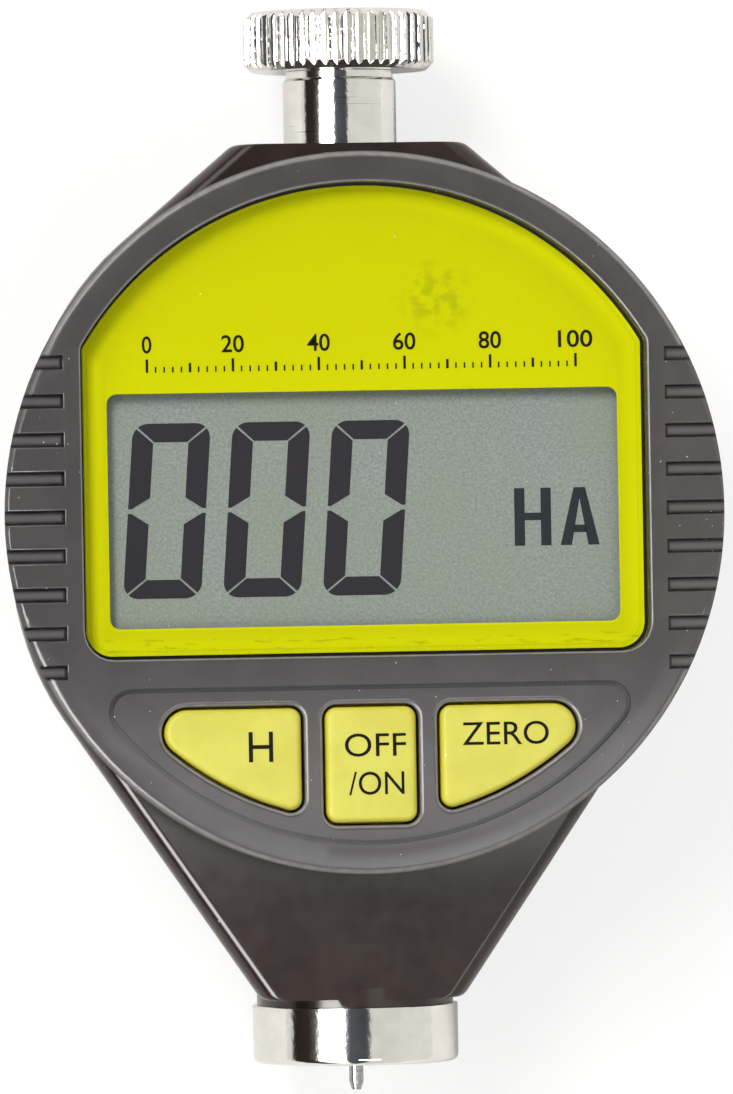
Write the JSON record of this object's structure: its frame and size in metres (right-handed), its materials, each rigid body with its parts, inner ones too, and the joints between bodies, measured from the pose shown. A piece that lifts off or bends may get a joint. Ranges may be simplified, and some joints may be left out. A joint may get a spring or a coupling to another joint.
{
  "type": "durometer",
  "caption": "Pocket digital durometer: round display bezel with keys on a dark cast body, plated presser foot with sprung indenter below, stem and knurled knob above.",
  "frame": {"origin": "point of the flat back under the centre of the round bezel", "axes": "+X to the right of the display, +Y along the spindle towards the knob, +Z out of the display"},
  "size_m": [0.0624, 0.0945, 0.0272],
  "materials": {
    "body_black": "glossy dark brown-black enamel on an aluminium casting",
    "plated_steel": "bright plated, finely turned",
    "hard_steel": "ground hardened steel",
    "dark_steel": "blackened steel",
    "spring_steel": "drawn spring wire",
    "bush_brass": "turned brass",
    "bare_aluminium": "milled aluminium",
    "bezel_grey": "satin dark grey moulding",
    "clear_lens": "clear polished acrylic",
    "print_yellow": "lime yellow screen print behind the lens",
    "lcd_grey": "grey-green reflective display",
    "key_yellow": "matte pale yellow silicone-feel plastic",
    "contact_rubber": "striped contact rubber",
    "frame_white": "off-white moulding",
    "board_green": "green solder mask",
    "black_plastic": "black moulding",
    "cell_steel": "bright nickel-plated can"
  },
  "bodies": {
    "main": {"main_body": "body_black", "presser_foot": "plated_steel", "lower_bush": "bush_brass", "upper_bush": "bush_brass", "guide_pin": "hard_steel", "main_spring": "spring_steel", "stem": "plated_steel", "front_bezel": "bezel_grey", "window_lens": "clear_lens", "window_print": "print_yellow", "lcd_glass": "lcd_grey", "zebra_strips": "contact_rubber", "lcd_frame": "frame_white", "circuit_board": "board_green", "controller_chip": "black_plastic", "tact_switches": "black_plastic", "battery": "cell_steel", "battery_holder": "black_plastic", "positive_contact": "bush_brass", "negative_contact": "bush_brass", "case_screws": "dark_steel"},
    "indenter_spindle": {"indenter": "hard_steel", "spindle": "hard_steel", "carriage": "bare_aluminium", "scale_plate": "board_green", "spring_seat": "bush_brass", "grub_screws": "dark_steel"},
    "hold_key": {"hold_key": "key_yellow", "hold_plunger": "frame_white"},
    "power_key": {"power_key": "key_yellow", "power_plunger": "frame_white"},
    "zero_key": {"zero_key": "key_yellow", "zero_plunger": "frame_white"},
    "knob_washer": {"knob_washer": "plated_steel"},
    "knob": {"knob": "plated_steel"},
    "battery_cap": {"battery_cap": "black_plastic"}
  },
  "joints": [
    {"name": "indenter_press", "type": "slide", "parent": "main", "child": "indenter_spindle", "axis": [0, 1, 0], "range_m": [0, 0.0025], "stiffness_N_per_m": 3006, "springref_m": -0.00018, "deforming": ["main_spring"]},
    {"name": "hold_key_press", "type": "slide", "parent": "main", "child": "hold_key", "axis": [0, 0, -1], "range_m": [0, 0.0004], "stiffness_N_per_m": 1500, "springref_m": -0.0003},
    {"name": "power_key_press", "type": "slide", "parent": "main", "child": "power_key", "axis": [0, 0, -1], "range_m": [0, 0.0004], "stiffness_N_per_m": 1500, "springref_m": -0.0003},
    {"name": "zero_key_press", "type": "slide", "parent": "main", "child": "zero_key", "axis": [0, 0, -1], "range_m": [0, 0.0004], "stiffness_N_per_m": 1500, "springref_m": -0.0003},
    {"name": "knob_lift", "type": "slide", "parent": "main", "child": "knob_washer", "axis": [0, 1, 0], "range_m": [0, 0.0094]},
    {"name": "knob_turn", "type": "hinge", "parent": "knob_washer", "child": "knob", "pos_m": [0, 0.0388, 0.01], "axis": [0, 1, 0], "range_deg": [0, 3348]},
    {"name": "battery_cap_turn", "type": "hinge", "parent": "main", "child": "battery_cap", "pos_m": [-0.0155, 0.002, 0], "axis": [0, 0, -1], "range_deg": [0, 60]}
  ],
  "couplings": [
    {"joint": "knob_lift", "follows": "knob_turn", "m_per_rad": 0.00015915}
  ]
}
